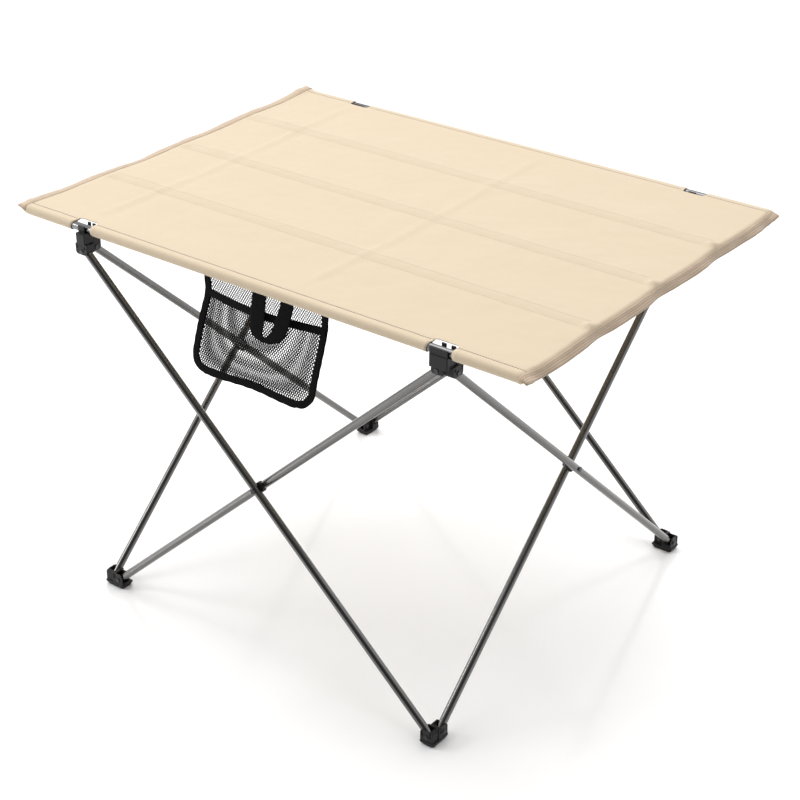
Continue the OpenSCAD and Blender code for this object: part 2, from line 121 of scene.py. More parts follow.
class Nodes:
    """Short calls for making a node tree."""

    def __init__(self, name):
        self.material = bpy.data.materials.new(name)
        self.material.use_nodes = True
        self.tree = self.material.node_tree
        self.shader = self.tree.nodes["Principled BSDF"]

    def add(self, kind, **values):
        made = self.tree.nodes.new(kind)
        for key, value in values.items():
            setattr(made, key, value)
        return made

    def link(self, a, b):
        self.tree.links.new(a, b)

    def math(self, operation, a, b=None, clamp=False):
        made = self.add("ShaderNodeMath", operation=operation, use_clamp=clamp)
        for socket, value in zip(made.inputs, (a, b)):
            if value is None:
                continue
            if isinstance(value, (int, float)):
                socket.default_value = value
            else:
                self.link(value, socket)
        return made.outputs[0]

    def coordinates(self, attribute=None):
        if attribute:
            return self.add("ShaderNodeAttribute", attribute_name=attribute).outputs["Vector"]
        return self.add("ShaderNodeTexCoord").outputs["Object"]

    def split(self, vector):
        made = self.add("ShaderNodeSeparateXYZ")
        self.link(vector, made.inputs[0])
        return made.outputs

    def scaled(self, vector, scale, rotation=(0, 0, 0)):
        made = self.add("ShaderNodeMapping")
        self.link(vector, made.inputs["Vector"])
        made.inputs["Scale"].default_value = scale
        made.inputs["Rotation"].default_value = rotation
        return made.outputs[0]

    def noise(self, vector, scale, detail=3.0, roughness=0.5):
        made = self.add("ShaderNodeTexNoise")
        self.link(vector, made.inputs["Vector"])
        made.inputs["Scale"].default_value = scale
        made.inputs["Detail"].default_value = detail
        made.inputs["Roughness"].default_value = roughness
        return made.outputs["Fac"]

    def ramp(self, value, stops):
        """stops is a list of (position, colour)."""
        made = self.add("ShaderNodeValToRGB")
        self.link(value, made.inputs[0])
        elements = made.color_ramp.elements
        while len(elements) < len(stops):
            elements.new(0.5)
        for element, (position, colour) in zip(elements, stops):
            element.position = position
            element.color = (*colour, 1)
        return made.outputs[0]

    def mix(self, factor, a, b):
        made = self.add("ShaderNodeMix", data_type="RGBA")
        for socket, value in ((made.inputs["Factor"], factor), (made.inputs[6], a), (made.inputs[7], b)):
            if isinstance(value, (int, float)):
                socket.default_value = value
            elif isinstance(value, tuple):
                socket.default_value = (*value, 1)
            else:
                self.link(value, socket)
        return made.outputs[2]

    def bump(self, height, distance, strength=1.0, normal=None):
        made = self.add("ShaderNodeBump")
        made.inputs["Strength"].default_value = strength
        made.inputs["Distance"].default_value = distance
        self.link(height, made.inputs["Height"])
        if normal is not None:
            self.link(normal, made.inputs["Normal"])
        return made.outputs[0]

    def set(self, **values):
        names = {"rough": "Roughness", "metal": "Metallic", "ior": "IOR", "sheen": "Sheen Weight",
                 "sheen_rough": "Sheen Roughness", "coat": "Coat Weight", "coat_rough": "Coat Roughness",
                 "specular": "Specular IOR Level", "colour": "Base Color", "normal": "Normal",
                 "aniso": "Anisotropic"}
        for key, value in values.items():
            socket = self.shader.inputs[names[key]]
            if isinstance(value, bpy.types.NodeSocket):
                self.link(value, socket)
            elif isinstance(value, tuple):
                socket.default_value = (*value, 1)
            else:
                socket.default_value = value
        return self.material


def waves(n, along, period):
    """A height from 0 to 1 that repeats along a coordinate."""
    turned = n.math("SINE", n.math("MULTIPLY", along, 2 * math.pi / period))
    return n.math("ADD", n.math("MULTIPLY", turned, 0.5), 0.5)


def weave(n, u, v, pitch):
    """Height of a plain weave, from its warp and weft threads."""
    warp = waves(n, u, pitch)
    weft = waves(n, v, pitch)
    over = n.math("MULTIPLY", n.math("SINE", n.math("MULTIPLY", u, math.pi / pitch)),
                  n.math("SINE", n.math("MULTIPLY", v, math.pi / pitch)))
    threads = n.math("MULTIPLY", warp, weft)
    return n.math("ADD", threads, n.math("MULTIPLY", over, 0.35))


def cloth_material():
    n = Nodes("coated_oxford_cloth")
    cut = n.coordinates("cut")
    u, v, _ = n.split(cut)
    threads = weave(n, u, v, 1.1 * MM)
    # Yarns differ a little from one to the next, along and across
    along = n.noise(n.scaled(cut, (14, 1500, 1)), 1.0, 2.0)
    across = n.noise(n.scaled(cut, (1500, 14, 1)), 1.0, 2.0)
    cloud = n.noise(cut, 9.0, 4.0)
    yarns = n.math("MULTIPLY", n.math("ADD", along, across), 0.25)
    tone = n.math("ADD", yarns, n.math("MULTIPLY", cloud, 0.5))
    base = n.ramp(tone, [(0.32, (0.535, 0.446, 0.322)), (0.68, (0.578, 0.486, 0.356))])
    # The gaps between threads are a little darker
    woven = n.mix(n.math("MULTIPLY", threads, 0.75, clamp=True), (0.490, 0.398, 0.283), base)
    # Sewn channels: painted shade, darker where the second layer and the batten under it keep light from
    # coming through
    third = n.math("PINGPONG", n.math("ADD", v, 3 * CHANNEL_Y), CHANNEL_Y)
    offset = n.math("MINIMUM", third, n.math("SUBTRACT", CHANNEL_Y, third))
    band = n.math("MULTIPLY", n.math("SUBTRACT", 8.5 * MM, offset), 400, clamp=True)
    inside = n.math("LESS_THAN", n.math("ABSOLUTE", v), 0.9 * POLE_Y)
    dark = n.math("MULTIPLY", n.math("MULTIPLY", band, inside), 0.5)
    # The channel bands are mixed toward a darker brown: painted shade
    channel_shaded = n.mix(dark, woven, n.mix(0.5, woven, (0.42, 0.335, 0.232)))
    creases = n.noise(n.scaled(cut, (1, 1, 1)), 60.0, 5.0, 0.6)
    height = n.math("ADD", n.math("MULTIPLY", threads, 0.6), n.math("MULTIPLY", creases, 0.4))
    return n.set(colour=channel_shaded, rough=0.78, sheen=0.18, sheen_rough=0.45, specular=0.35,
                 normal=n.bump(height, 0.16 * MM, 0.75))


def tape_material():
    n = Nodes("ribbed_binding_tape")
    cut = n.coordinates("cut")
    u, v, _ = n.split(cut)
    ribs = waves(n, v, 2.6 * MM)
    threads = n.math("MULTIPLY", ribs, waves(n, u, 0.9 * MM))
    cloud = n.noise(n.scaled(cut, (1, 4, 1)), 40.0, 3.0)
    base = n.ramp(cloud, [(0.3, (0.455, 0.35, 0.25)), (0.7, (0.53, 0.415, 0.30))])
    ribbed = n.mix(n.math("MULTIPLY", ribs, 0.7), base, (0.30, 0.215, 0.145))
    # Painted shade: a darker line along the fold at the rim, where the tape turns under
    from_fold = n.math("ABSOLUTE", n.math("SUBTRACT", v, 13.5 * MM))
    fold_shade = n.math("SUBTRACT", 1.0, n.math("MULTIPLY", from_fold, 420), clamp=True)
    colour = n.mix(n.math("MULTIPLY", fold_shade, 0.8), ribbed, (0.20, 0.145, 0.10))
    height = n.math("ADD", n.math("MULTIPLY", ribs, 0.7), n.math("MULTIPLY", threads, 0.3))
    return n.set(colour=colour, rough=0.72, sheen=0.25, sheen_rough=0.4,
                 normal=n.bump(height, 0.22 * MM, 0.9))


def thread_material(name, colour):
    n = Nodes(name)
    where = n.coordinates()
    twist = n.noise(where, 2600.0, 2.0)
    tone = n.mix(n.math("MULTIPLY", twist, 0.5), colour, tuple(0.6 * c for c in colour))
    return n.set(colour=tone, rough=0.55, sheen=0.3, normal=n.bump(twist, 0.08 * MM, 0.8))


def moulding_material():
    n = Nodes("black_moulded_nylon")
    where = n.coordinates()
    grain = n.noise(where, 1700.0, 4.0, 0.6)
    flow = n.noise(n.scaled(where, (1, 1, 3)), 70.0, 3.0)
    # Colour is lighter on convex edges, by the mesh's pointiness
    edge_convexity = n.add("ShaderNodeNewGeometry").outputs["Pointiness"]
    edge = n.ramp(edge_convexity, [(0.50, (0, 0, 0)), (0.58, (1, 1, 1))])
    base = n.ramp(flow, [(0.3, (0.006, 0.006, 0.0065)), (0.7, (0.011, 0.0105, 0.011))])
    colour = n.mix(n.math("MULTIPLY", edge, 0.5), base, (0.035, 0.034, 0.035))
    rough = n.math("ADD", n.math("MULTIPLY", grain, 0.16), 0.26)
    bevel = n.add("ShaderNodeBevel", samples=6)
    bevel.inputs["Radius"].default_value = 0.45 * MM
    return n.set(colour=colour, rough=rough, specular=0.14,
                 normal=n.bump(grain, 0.05 * MM, 0.5, bevel.outputs[0]))


def tube_material(name, along, colours, rough):
    """Anodised drawn tube: fine streaks run along the tube."""
    n = Nodes(name)
    direction = Vector(along).normalized()
    turn = direction.rotation_difference(Vector((1, 0, 0))).to_euler()
    where = n.scaled(n.coordinates(), (1, 1, 1), tuple(turn))
    streaks = n.noise(n.scaled(where, (6, 1400, 1400)), 1.0, 3.0, 0.6)
    cloud = n.noise(n.scaled(where, (1, 5, 5)), 8.0, 2.0)
    tone = n.math("ADD", n.math("MULTIPLY", streaks, 0.6), n.math("MULTIPLY", cloud, 0.4))
    colour = n.ramp(tone, [(0.3, colours[0]), (0.7, colours[1])])
    spread = n.math("ADD", n.math("MULTIPLY", streaks, 0.14), rough - 0.07)
    return n.set(colour=colour, metal=1.0, rough=spread, normal=n.bump(streaks, 0.012 * MM, 0.35))


def rivet_material():
    n = Nodes("dark_rivet_steel")
    where = n.coordinates()
    marks = n.noise(n.scaled(where, (1, 1, 5)), 900.0, 4.0, 0.6)
    colour = n.ramp(marks, [(0.3, (0.035, 0.034, 0.034)), (0.7, (0.075, 0.074, 0.073))])
    rough = n.math("ADD", n.math("MULTIPLY", marks, 0.2), 0.2)
    return n.set(colour=colour, metal=1.0, rough=rough, normal=n.bump(marks, 0.02 * MM, 0.5))


def batten_material():
    n = Nodes("batten_strip")
    where = n.coordinates()
    fibres = n.noise(n.scaled(where, (20, 900, 900)), 1.0, 3.0)
    colour = n.ramp(fibres, [(0.3, (0.05, 0.05, 0.052)), (0.7, (0.09, 0.09, 0.093))])
    return n.set(colour=colour, rough=0.45, normal=n.bump(fibres, 0.04 * MM, 0.6))


def black_webbing_material(name, rib_pitch, base, light):
    n = Nodes(name)
    cut = n.coordinates("cut")
    u, v, _ = n.split(cut)
    ribs = waves(n, v, rib_pitch)
    threads = n.math("MULTIPLY", ribs, waves(n, u, 0.8 * rib_pitch))
    fuzz = n.noise(cut, 700.0, 3.0)
    colour = n.mix(n.math("MULTIPLY", threads, 0.8), base, light)
    height = n.math("ADD", n.math("MULTIPLY", threads, 0.8), n.math("MULTIPLY", fuzz, 0.2))
    return n.set(colour=colour, rough=0.85, specular=0.06, normal=n.bump(height, 0.2 * MM, 0.9))


def net_material():
    n = Nodes("black_net_yarn")
    where = n.coordinates()
    twist = n.noise(where, 2200.0, 2.0)
    colour = n.ramp(twist, [(0.3, (0.007, 0.007, 0.0075)), (0.7, (0.015, 0.0145, 0.015))])
    return n.set(colour=colour, rough=0.75, specular=0.12, normal=n.bump(twist, 0.05 * MM, 0.6))


def floor_material():
    n = Nodes("white_gloss_floor")
    where = n.coordinates()
    haze = n.noise(where, 1.5, 3.0)
    rough = n.math("ADD", n.math("MULTIPLY", haze, 0.04), 0.13)
    colour = n.ramp(haze, [(0.2, (0.935, 0.94, 0.95)), (0.8, (0.95, 0.955, 0.96))])
    return n.set(colour=colour, rough=rough, specular=0.6)


CLOTH = cloth_material()
TAPE = tape_material()
THREAD = thread_material("seam_thread", (0.11, 0.065, 0.035))
PALE_THREAD = thread_material("pale_thread", (0.44, 0.34, 0.235))
MOULDING = moulding_material()
RIVET = rivet_material()
BATTEN = batten_material()
BAG_TAPE = black_webbing_material("black_binding_tape", 1.4 * MM,
                                  (0.0045, 0.0043, 0.0045), (0.0095, 0.009, 0.0092))
WEBBING = black_webbing_material("black_ribbed_webbing", 1.8 * MM,
                                 (0.0042, 0.004, 0.0042), (0.0085, 0.008, 0.0083))
NET = net_material()
FLOOR = floor_material()

# ---------------------------------------------------------------- the carried-over CAD nodes


def leg_direction(name):
    """The line that a leg follows, from the box of its node."""
    low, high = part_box(name)
    size = high - low
    outer = name.endswith("outer")
    side = name.split("_")[1]
    run = {"front": (size.x, 0), "back": (-size.x, 0), "right": (0, size.y), "left": (0, -size.y)}[side]
    return run[0], run[1], -size.z if outer else size.z


def paint(name, material):
    slots = NODES[name].data.materials
    slots.clear()
    slots.append(material)


LEG_TONES = ((0.125, 0.121, 0.117), (0.172, 0.168, 0.164))
POLE_TONES = ((0.11, 0.11, 0.113), (0.16, 0.16, 0.163))
for name in NODES:
    if name.startswith("leg_"):
        paint(name, tube_material("anodised_" + name, leg_direction(name), LEG_TONES, 0.18))
    elif name.startswith("pole_plugs") or name.startswith("cross_spacer"):
        paint(name, MOULDING)
    elif name.startswith("pole_"):
        paint(name, tube_material("drawn_" + name, (1, 0, 0), POLE_TONES, 0.2))
    elif "rivet" in name:
        paint(name, RIVET)
    elif name.startswith("hub_") or name.startswith("foot_"):
        paint(name, MOULDING)
    elif name.startswith("batten_") and "pocket" not in name:
        paint(name, BATTEN)

# ---------------------------------------------------------------- the cloth

CLOTH_T = 0.9 * MM
TOP_MID = TOP_Z - CLOTH_T / 2
WRAP_R = TOP_MID - POLE_Z
WRAP_TURN = math.radians(312)
WRAP_LENGTH = WRAP_R * WRAP_TURN
HEM = 5 * MM
SEAM_Y = POLE_Y - 6.7 * MM
WINDOW_IN = 248 * MM
WINDOW_OUT = 278 * MM
WINDOW_MID = (WINDOW_IN + WINDOW_OUT) / 2
WINDOW_EDGE = POLE_Y - 11 * MM
WINDOW_ROUND = 4 * MM
END_RUN = 16.5 * MM
CURL_RUN = 5 * MM
CREASES = ((-268 * MM, 0.7 * MM), (52 * MM, 0.6 * MM))


def wobble(x, y, scale, seed):
    """Smooth uneven values around 0, the same each run."""
    flat = np.stack([np.ravel(x) * scale, np.ravel(y) * scale], 1)
    values = [noise.noise(Vector((a, b, seed))) for a, b in flat]
    return np.array(values).reshape(np.shape(x))


def across_cut(s):
    """y and z of the undeformed cloth at s across the cut, 0 in the middle, and how far it is wrapped."""
    side = np.sign(s)
    past = np.clip(np.abs(s) - POLE_Y, 0, None)
    turn = np.clip(past / WRAP_R, 0, WRAP_TURN)
    y = np.minimum(np.abs(s), POLE_Y) + WRAP_R * np.sin(turn)
    z = POLE_Z + WRAP_R * np.cos(turn)
    hem = np.clip(past - WRAP_LENGTH, 0, None)
    y = y - hem * 0.98
    z = z + hem * 0.13
    return side * y, z, turn


def deformed(x, s, fine=True):
    """Points of the cloth, in the row frame, at x along and s across the cut."""
    x = np.asarray(x, float)
    s = np.asarray(s, float)
    y, z, turn = across_cut(s)
    end = np.sign(x)
    away = np.abs(x)
    middle = smooth((POLE_Y - 12 * MM - np.abs(y)) / (50 * MM))
    # Between the channels and the poles the cloth hangs a little
    cell = 0.5 - 0.5 * np.cos(2 * np.pi * y / CHANNEL_Y)
    z = z - 1.1 * MM * cell * (turn == 0)
    # The battens press up
    channel = sum(bump_at(y - k * CHANNEL_Y, 7 * MM) for k in (-1, 0, 1))
    z = z + 0.55 * MM * channel * smooth((BATTEN_END + 4 * MM - away) / (12 * MM))
    # Folds kept from storage
    for place, height in CREASES:
        drift = place + 5 * MM * np.sin(y * 9 + place * 40)
        ridge = height * bump_at(x - drift, 5 * MM) * middle
        hollow = 0.5 * height * bump_at(x - drift - 12 * MM, 8 * MM) * middle
        z = z + ridge - hollow
    # Sewing pulls a small groove at the long seams
    z = z - 0.45 * MM * bump_at(np.abs(s) - SEAM_Y, 1.4 * MM)
    if fine:
        z = z + 0.55 * MM * wobble(x, s, 22, 3.1) * middle + 0.25 * MM * wobble(x, s, 70, 7.7) * (turn == 0)
    # The sleeves flatten past the ends of the poles
    flat = smooth((away - POLE_END - 3.5 * MM) / (9 * MM))
    z = z + (TOP_MID - 1.2 * MM - z) * 0.88 * flat * smooth((np.abs(y) - POLE_Y + 12 * MM) / (8 * MM))
    # The short ends are drawn in between the poles and curl down, the right one far more
    right = end > 0
    waist = np.cos(np.clip(y / POLE_Y, -1, 1) * np.pi / 2) ** 1.3
    drawn = np.where(right, 0.8 * MM, 3.6 * MM) * waist * smooth((away - 180 * MM) / (190 * MM))
    long_wave = np.where(right, 0.17, 0.03) * np.sin(y * 47 + end * 1.3)
    wave = long_wave + np.where(right, 0.10, 0.02) * np.sin(y * 101 + 2)
    hold = smooth((POLE_Y + 2 * MM - np.abs(y)) / (30 * MM))
    turn_down = (np.where(right, 1.12, 0.06) + wave) * (np.where(right, 0.35, 0.1) * (1 - hold) + hold)
    turn_down = np.clip(turn_down, 0.03, 1.4)
    start = HALF_LENGTH - END_RUN
    run = np.clip(away - start, 0, None)
    bent = np.minimum(run, CURL_RUN)
    angle = turn_down * bent / CURL_RUN
    reach = np.sin(angle) * CURL_RUN / turn_down + (run - bent) * np.cos(turn_down)
    fall = (1 - np.cos(angle)) * CURL_RUN / turn_down + (run - bent) * np.sin(turn_down)
    spare = np.where(right, 7 * MM * hold + 3 * MM * (1 - hold), 0) * smooth((away - 250 * MM) / (90 * MM))
    x_new = end * (np.minimum(away, start) + reach - drawn + spare)
    z = z - fall
    z = z - 1.0 * MM * waist * smooth((away - 300 * MM) / (60 * MM)) * ~right
    # Past the battens the left end hangs lowest in front of the middle
    low = np.cos(np.clip((y + 75 * MM) / (190 * MM), -1, 1) * np.pi / 2) ** 2
    z = z - 1.9 * MM * low * smooth((away - BATTEN_END + 4 * MM) / (22 * MM)) * ~right
    # The batten ends show as small bumps inside the right end
    tips = sum(bump_at(y - k * CHANNEL_Y + 1.5 * MM, 6 * MM) for k in (-1, 0, 1))
    z = z + 3.4 * MM * tips * bump_at(away - BATTEN_END + 2 * MM, 5 * MM) * np.where(end > 0, 1, 0.3)
    # Past the poles the corners of the left end turn up
    at_corner = smooth((np.abs(y) - POLE_Y + 45 * MM) / (42 * MM))
    turned_up = smooth((away - POLE_END + 6 * MM) / (18 * MM)) * at_corner
    z = z + np.where(y > 0, 3.0, 0.5) * MM * turned_up * (end < 0)
    # Sleeve ends draw back a little from the windows underneath
    side = np.where(away > WINDOW_MID, 1, -1)
    gap = np.abs(away - np.where(side > 0, WINDOW_OUT, WINDOW_IN))
    pull = 2.2 * MM * np.sin(np.clip(turn, 0, 2 * np.pi) / 2) ** 2 * smooth(1 - gap / (14 * MM))
    x_new = x_new + end * side * pull
    return np.stack([x_new, y, z], -1)


def lifted(x, s, height):
    """Points at a height above the cloth's middle surface, along its normal."""
    step = 0.4 * MM
    ahead = deformed(x + step, s) - deformed(x - step, s)
    aside = deformed(x, s + step) - deformed(x, s - step)
    normal = np.cross(ahead, aside)
    normal /= np.linalg.norm(normal, axis=-1, keepdims=True)
    return deformed(x, s) + normal * np.asarray(height)[..., None]


def in_window(x):
    return (np.abs(x) > WINDOW_IN) & (np.abs(x) < WINDOW_OUT)


def window_edge(x):
    """How far across the cut the top reaches, at x along: less in a window, with rounded corners."""
    inside = np.minimum(np.abs(x) - WINDOW_IN, WINDOW_OUT - np.abs(x))
    rise = 1 - np.sqrt(np.clip(1 - (1 - np.clip(inside / WINDOW_ROUND, 0, 1)) ** 2, 0, 1))
    return np.where(inside > 0, WINDOW_EDGE + WINDOW_ROUND * rise, POLE_Y)


def axis_values(stops, step):
    """Values from the first stop to the last that include every stop, about one step apart."""
    values = [stops[0]]
    for a, b in zip(stops, stops[1:]):
        count = max(1, round(abs(b - a) / step))
        values += [a + (b - a) * i / count for i in range(1, count + 1)]
    return np.array(values)


def make_cloth():
    tight = WINDOW_ROUND
    half = [0, WINDOW_IN - tight, WINDOW_IN, WINDOW_IN + tight, WINDOW_OUT - tight, WINDOW_OUT,
            WINDOW_OUT + tight, HALF_LENGTH - END_RUN]
    xs = axis_values(half, 3.6 * MM)
    dense = []
    for a in (WINDOW_IN, WINDOW_OUT):
        sign = 1 if a == WINDOW_IN else -1
        dense += [a + sign * tight * f for f in (0.06, 0.15, 0.28, 0.45, 0.7)]
    ends = axis_values([HALF_LENGTH - END_RUN, HALF_LENGTH], 1.1 * MM)[1:]
    xs = np.unique(np.round(np.concatenate([xs, dense, ends]), 7))
    xs = np.concatenate([-xs[:0:-1], xs])
    squeeze = POLE_Y - 26 * MM
    ss = axis_values([0, squeeze], 3.6 * MM)
    ss = np.concatenate([ss, axis_values([squeeze, POLE_Y], 1.3 * MM)[1:]])
    wrapped = [POLE_Y, POLE_Y + WRAP_LENGTH, POLE_Y + WRAP_LENGTH + HEM]
    ss = np.concatenate([ss, axis_values(wrapped, 1.3 * MM)[1:]])
    ss = np.concatenate([-ss[:0:-1], ss])
    grid_s, grid_x = np.meshgrid(ss, xs, indexing="ij")
    reach = window_edge(grid_x)
    outer = np.abs(grid_s)
    squeezed = squeeze + (outer - squeeze) * (reach - squeeze) / (POLE_Y - squeeze)
    moved = np.where((outer > squeeze) & (outer <= POLE_Y + 1e-9), squeezed, outer) * np.sign(grid_s)
    points = deformed(grid_x, moved)
    middle_x = (grid_x[:-1, :-1] + grid_x[1:, 1:]) / 2
    middle_s = (np.abs(grid_s[:-1, :-1]) + np.abs(grid_s[1:, 1:])) / 2
    keep = ~(in_window(middle_x) & (middle_s > POLE_Y))
    faces = grid_faces(len(ss), len(xs), keep)
    made = mesh_object("table_cloth", points.reshape(-1, 3), faces, CLOTH)
    store_cut(made, np.stack([grid_x, moved, 0 * grid_x], -1).reshape(-1, 3))
    drop_loose(made)
    thicken(made, CLOTH_T)
    area = 2 * HALF_LENGTH * 2 * (POLE_Y + WRAP_LENGTH + HEM)
    return made, area


def drop_loose(made):
    """Removes points that no face uses."""
    work = bmesh.new()
    work.from_mesh(made.data)
    loose = [v for v in work.verts if not v.link_faces]
    bmesh.ops.delete(work, geom=loose, context="VERTS")
    work.to_mesh(made.data)
    work.free()


def make_end_tape(end, name):
    """Tape folded over a short end: a closed band round the cloth's rim."""
    tape_in = 13 * MM if end < 0 else 12 * MM
    count = 220
    limit = POLE_Y + 9 * MM
    along = np.linspace(-limit, limit, count)
    rim = HALF_LENGTH - 0.6 * MM
    wander = 0.5 * MM * np.array([noise.noise(Vector((a * 60, end, 1.5))) for a in along])
    swell = 1 + 0.25 * np.array([noise.noise(Vector((a * 90, end, 9.5))) for a in along])
    top = 1.15 * MM * swell
    over_sleeve = smooth((np.abs(along) - POLE_Y + 11 * MM) / (7 * MM))
    under = -(1.15 * MM + 1.7 * MM * over_sleeve) * swell
    profile = [(tape_in, 0.45), (tape_in - 0.4 * MM, 0.95), (tape_in * 0.66, 1.0), (tape_in * 0.33, 1.0),
               (0.8 * MM, 1.0), (0.0, 0.75), (-0.5 * MM, 0.0), (0.0, -0.75), (0.8 * MM, -1.0),
               (tape_in * 0.33, -1.0), (tape_in * 0.66, -1.0), (tape_in - 0.4 * MM, -0.95), (tape_in, -0.45)]
    points, cuts = [], []
    travelled = 0.0
    for index, (inset, height) in enumerate(profile):
        if index:
            previous = profile[index - 1]
            travelled += math.hypot(inset - previous[0], (height - previous[1]) * 1.1 * MM)
        level = np.where(height > 0, height * top, -height * under)
        x = end * (rim - inset - wander * (inset > 5 * MM))
        points.append(lifted(x * np.ones(count), along, level))
        cuts.append(np.stack([along, travelled * np.ones(count), 0 * along], -1))
    rows = len(profile)
    faces = grid_faces(rows, count, closed=True)
    faces.append(tuple(r * count for r in range(rows)))
    faces.append(tuple(r * count + count - 1 for r in reversed(range(rows))))
    made = mesh_object(name, np.concatenate(points), faces, TAPE)
    store_cut(made, np.concatenate(cuts))
    return made


def make_channel(k, name):
    """Cloth channel sewn under the top round a batten."""
    reach = BATTEN_END + 5 * MM
    xs = axis_values([-reach, reach], 6 * MM)
    half = [(2.0, -3.05), (5.0, -2.95), (6.3, -2.6), (7.0, -1.6), (8.2, -0.95), (10.5, -0.85)]
    profile = np.array([(-across, depth) for across, depth in reversed(half)] + half) * MM
    closing = 1 - smooth((np.abs(xs) - BATTEN_END - 0.5 * MM) / (4 * MM))
    rows = []
    for across, depth in profile:
        level = -0.85 * MM + (depth + 0.85 * MM) * closing
        base = deformed(xs, np.full_like(xs, k * CHANNEL_Y + across), fine=False)
        base[:, 2] = TOP_MID + level - 0.12 * MM
        rows.append(base)
    made = mesh_object(name, np.concatenate(rows), grid_faces(len(profile), len(xs)), CLOTH)
    far = np.full_like(xs, POLE_Y * 0.95)
    store_cut(made, np.concatenate([np.stack([xs, far + a, 0 * xs], -1) for a in profile[:, 0]]))
    thicken(made, 0.5 * MM)
    return made


# ---------------------------------------------------------------- stitches

STITCH = ((-0.5, 0, 0), (-0.28, 0.5, 0.35), (-0.28, -0.5, 0.35), (0.28, 0.5, 0.35), (0.28, -0.5, 0.35),
          (0.5, 0, 0),
          (-0.28, 0, -0.5), (0.28, 0, -0.5))
STITCH_FACES = ((0, 2, 1), (1, 2, 4, 3), (3, 4, 5), (0, 6, 2), (0, 1, 6), (2, 6, 7, 4), (1, 3, 7, 6),
                (4, 7, 5), (3, 5, 7))


def make_stitches(name, lines, material, width=0.55 * MM, height=0.42 * MM):
    """Thread stitches: each line is a pair of arrays, the ends of its stitches, and their up directions."""
    points, faces = [], []
    for starts, stops, ups in lines:
        for a, b, up in zip(starts, stops, ups):
            middle, along = (a + b) / 2, b - a
            across = np.cross(up, along)
            across /= np.linalg.norm(across)
            first = len(points)
            for u, v, w in STITCH:
                points.append(middle + along * u + across * width * v + up * height * w)
            faces += [tuple(first + i for i in face) for face in STITCH_FACES]
    return mesh_object(name, points, faces, material)


def cloth_line(x0, s0, x1, s1, height, pitch=3.2 * MM, share=0.72, skip=None):
    """Stitches on the cloth from one place on the cut to another."""
    length = math.hypot(x1 - x0, s1 - s0)
    count = int(length / pitch)
    first = np.arange(count) / count
    last = first + share / count
    pairs = []
    for part in (first, last):
        x = x0 + (x1 - x0) * part
        s = s0 + (s1 - s0) * part
        pairs.append((x, s))
    inside = np.ones(count, bool) if skip is None else ~(skip(pairs[0][0]) | skip(pairs[1][0]))
    sign = 1 if height > 0 else -1
    ends = [lifted(x[inside], s[inside], np.full(inside.sum(), height)) for x, s in pairs]
    over = lifted(pairs[0][0][inside], pairs[0][1][inside], np.full(inside.sum(), height + sign * MM))
    ups = (over - ends[0]) / MM
    return ends[0], ends[1], ups


def near_window(x):
    return (np.abs(x) > WINDOW_IN - 1 * MM) & (np.abs(x) < WINDOW_OUT + 1 * MM)


def make_cloth_stitches():
    reach = HALF_LENGTH - 11 * MM
    top = CLOTH_T / 2 + 0.05 * MM
    seams = [cloth_line(-reach, side * SEAM_Y, reach, side * SEAM_Y, top, share=0.86, skip=near_window)
             for side in (-1, 1)]
    dark = make_stitches("long_seam_stitches", seams, THREAD, 1.25 * MM, 0.45 * MM)
    rows = []
    for k in (-1, 0, 1):
        for side in (-1, 1):
            s = k * CHANNEL_Y + side * 8.8 * MM
            rows.append(cloth_line(-BATTEN_END, s, BATTEN_END, s, top))
    for end in (-1, 1):
        x = end * (HALF_LENGTH - 8.8 * MM)
        rows.append(cloth_line(x, -POLE_Y, x, POLE_Y, 1.15 * MM + 0.25 * MM))
    pale = make_stitches("channel_and_tape_stitches", rows, PALE_THREAD, 0.45 * MM, 0.3 * MM)
    return [dark, pale]


cloth, cloth_area = make_cloth()
end_tapes = [make_end_tape(-1, "end_tape_left"), make_end_tape(1, "end_tape_right")]
channels = [make_channel(k, name)
            for k, name in ((-1, "channel_front"), (0, "channel_middle"), (1, "channel_back"))]
cloth_stitches = make_cloth_stitches()
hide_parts("cloth_top", "sleeve_front", "sleeve_back")
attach(cloth, "top")
for piece, node in zip(end_tapes, ("edge_tape_left", "edge_tape_right")):
    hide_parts(node)
    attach(piece, "top")
for piece, node in zip(channels, ("batten_pocket_front", "batten_pocket_middle", "batten_pocket_back")):
    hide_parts(node)
    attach(piece, "top")
for piece in cloth_stitches:
    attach(piece, "top")

# ---------------------------------------------------------------- the mesh bag

FLAP = 39.5 * MM
POCKET = 98 * MM
LEAN = math.radians(16.5)
BINDING = 9 * MM
BULGE = 11.5 * MM
BAND = 9.5 * MM
BAG_CORNER = 22 * MM
DROP = FLAP + POCKET
NET_HALF = BAG_HALF - BINDING
# Height and depth along the bag's back: upright at the flap, leaning below the mouth
BAG_STEPS = np.linspace(0, DROP + 5 * MM, 300)
BAG_ANGLES = LEAN * smooth((BAG_STEPS - FLAP + 10 * MM) / (22 * MM))
BAG_ANGLES += 0.05 * smooth((BAG_STEPS - 105 * MM) / (30 * MM))
BAG_PATH_Y = np.concatenate([[0], np.cumsum(np.sin(BAG_ANGLES[1:]) * np.diff(BAG_STEPS))])
BAG_PATH_Z = np.concatenate([[0], np.cumsum(np.cos(BAG_ANGLES[1:]) * np.diff(BAG_STEPS))])


def bag_sides(d):
    """Left and right edges of the bag at d below its hanging line: a soft bag isn't quite a rectangle."""
    mouth = bump_at(d - FLAP - 4 * MM, 24 * MM)
    low = smooth((d - FLAP) / (75 * MM))
    left = -BAG_HALF - 1.0 * MM + 2.5 * MM * mouth - 3.5 * MM * low
    right = BAG_HALF + 1.5 * MM - 1.0 * MM * mouth - 3.0 * MM * low
    return left, right


